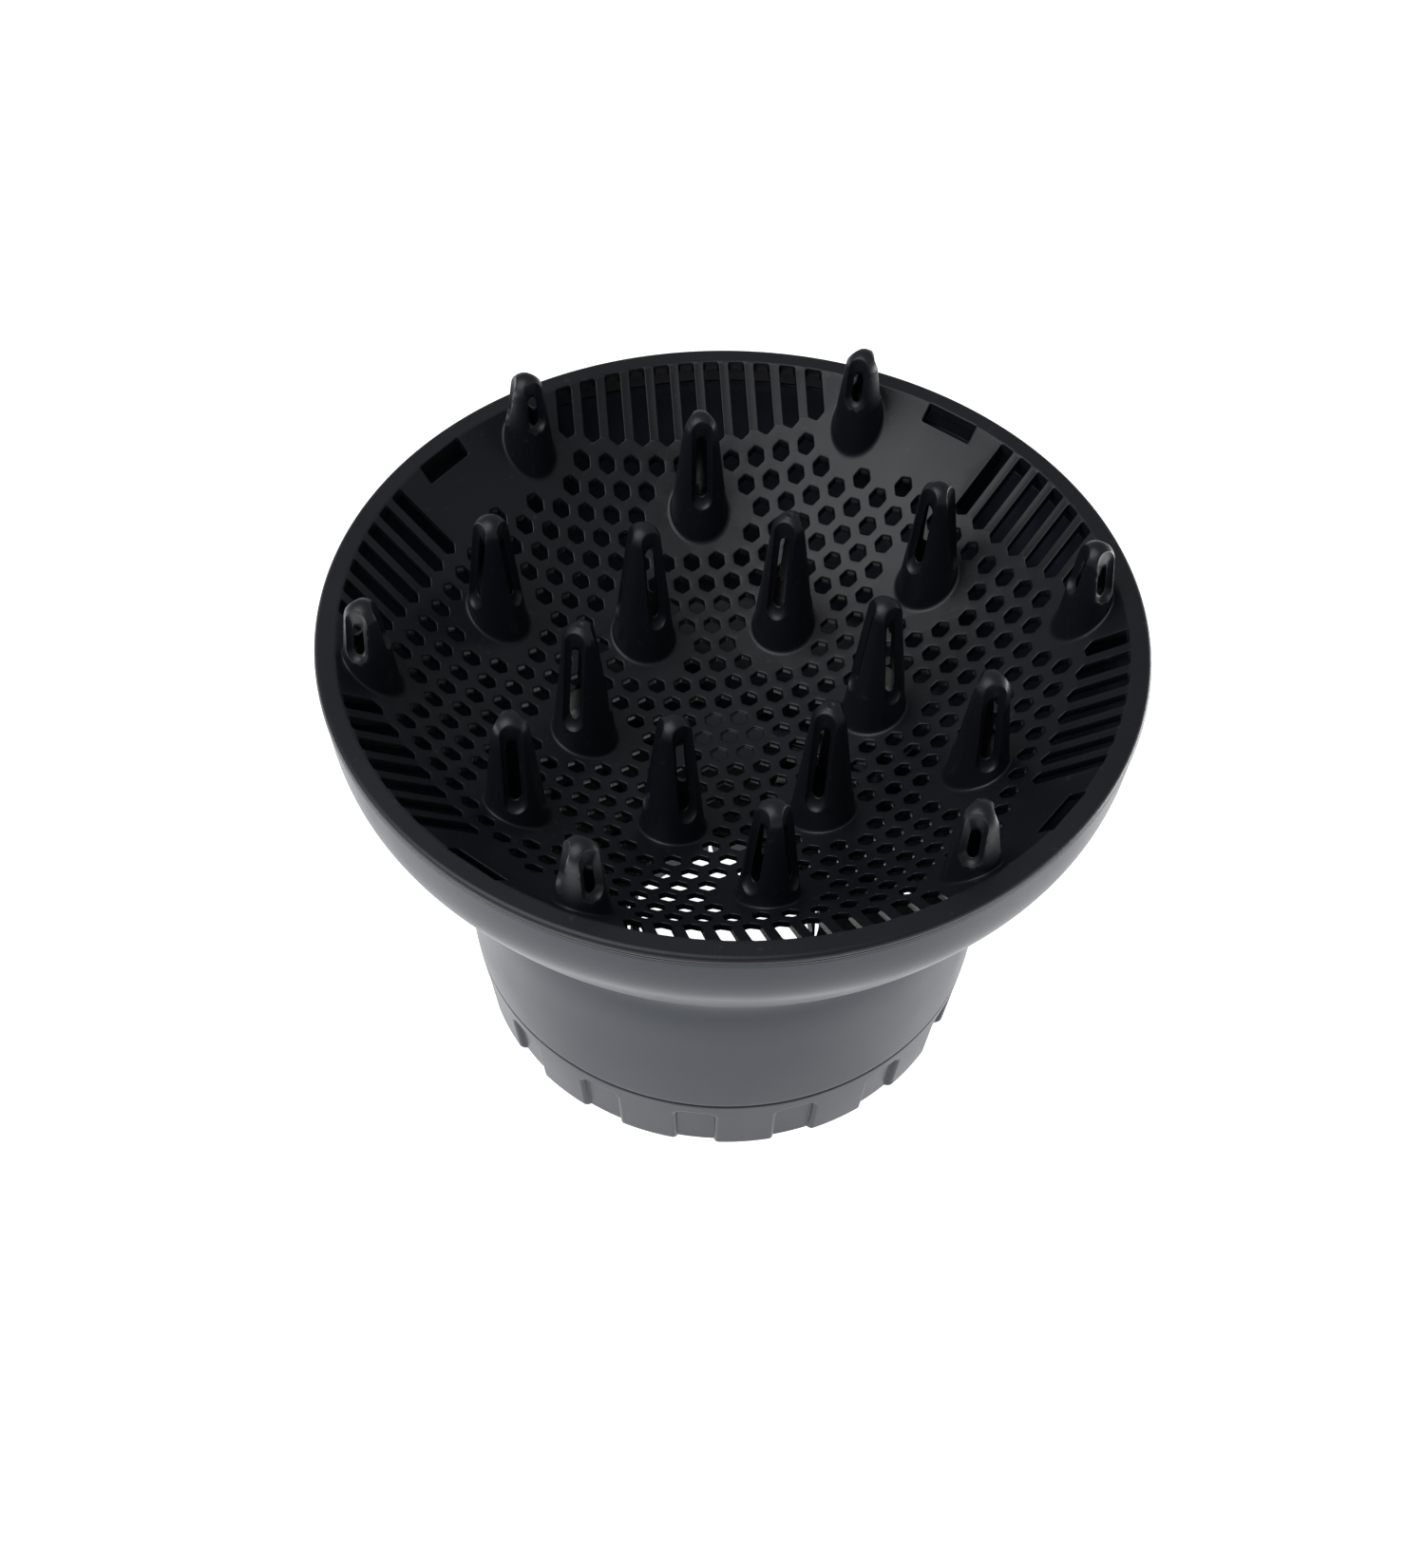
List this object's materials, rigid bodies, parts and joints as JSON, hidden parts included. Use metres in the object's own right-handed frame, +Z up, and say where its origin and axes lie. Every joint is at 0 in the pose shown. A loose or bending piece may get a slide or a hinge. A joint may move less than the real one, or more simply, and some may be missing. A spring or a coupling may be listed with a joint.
{
  "type": "hair dryer diffuser",
  "caption": "Bowl diffuser with a perforated grille and hollow slotted prongs. Turning the grip ring at its foot slides padded jaws in or out to hold a dryer's nozzle.",
  "frame": {"origin": "centre of the base, level with the foot of the grip ring", "axes": "+Z up along the axis of the bowl, towards the hair; jaw 1 slides along +X"},
  "size_m": [0.1694, 0.1694, 0.1244],
  "materials": {
    "grille_black": "satin moulded",
    "shell_grey": "fine matt",
    "nylon_black": "moulded nylon",
    "silicone_grey": "matt silicone",
    "screw_steel": "zinc plated"
  },
  "bodies": {
    "diffuser": {"grille_bowl": "grille_black", "inner_prongs": "grille_black", "middle_prongs": "grille_black", "outer_prongs": "grille_black", "shell": "shell_grey", "jaw_carrier": "nylon_black", "carrier_screws": "screw_steel"},
    "ring": {"grip_ring": "shell_grey", "cam_plate": "nylon_black", "cam_screws": "screw_steel"},
    "jaw_1": {"jaw_1": "nylon_black", "grip_pad_1": "silicone_grey"},
    "jaw_2": {"jaw_2": "nylon_black", "grip_pad_2": "silicone_grey"},
    "jaw_3": {"jaw_3": "nylon_black", "grip_pad_3": "silicone_grey"},
    "jaw_4": {"jaw_4": "nylon_black", "grip_pad_4": "silicone_grey"},
    "jaw_5": {"jaw_5": "nylon_black", "grip_pad_5": "silicone_grey"},
    "jaw_6": {"jaw_6": "nylon_black", "grip_pad_6": "silicone_grey"}
  },
  "joints": [
    {"name": "grip_ring_turn", "type": "hinge", "parent": "diffuser", "child": "ring", "pos_m": [0, 0, 0.0093], "axis": [0, 0, 1], "range_deg": [0, 60]},
    {"name": "jaw_1_slide", "type": "slide", "parent": "diffuser", "child": "jaw_1", "axis": [1, 0, 0], "range_m": [0, 0.0115]},
    {"name": "jaw_2_slide", "type": "slide", "parent": "diffuser", "child": "jaw_2", "axis": [0.5, 0.866, 0], "range_m": [0, 0.0115]},
    {"name": "jaw_3_slide", "type": "slide", "parent": "diffuser", "child": "jaw_3", "axis": [-0.5, 0.866, 0], "range_m": [0, 0.0115]},
    {"name": "jaw_4_slide", "type": "slide", "parent": "diffuser", "child": "jaw_4", "axis": [-1, 0, 0], "range_m": [0, 0.0115]},
    {"name": "jaw_5_slide", "type": "slide", "parent": "diffuser", "child": "jaw_5", "axis": [-0.5, -0.866, 0], "range_m": [0, 0.0115]},
    {"name": "jaw_6_slide", "type": "slide", "parent": "diffuser", "child": "jaw_6", "axis": [0.5, -0.866, 0], "range_m": [0, 0.0115]}
  ],
  "couplings": [
    {"joint": "jaw_1_slide", "follows": "grip_ring_turn", "m_per_rad": 0.01098},
    {"joint": "jaw_2_slide", "follows": "grip_ring_turn", "m_per_rad": 0.01098},
    {"joint": "jaw_3_slide", "follows": "grip_ring_turn", "m_per_rad": 0.01098},
    {"joint": "jaw_4_slide", "follows": "grip_ring_turn", "m_per_rad": 0.01098},
    {"joint": "jaw_5_slide", "follows": "grip_ring_turn", "m_per_rad": 0.01098},
    {"joint": "jaw_6_slide", "follows": "grip_ring_turn", "m_per_rad": 0.01098}
  ]
}
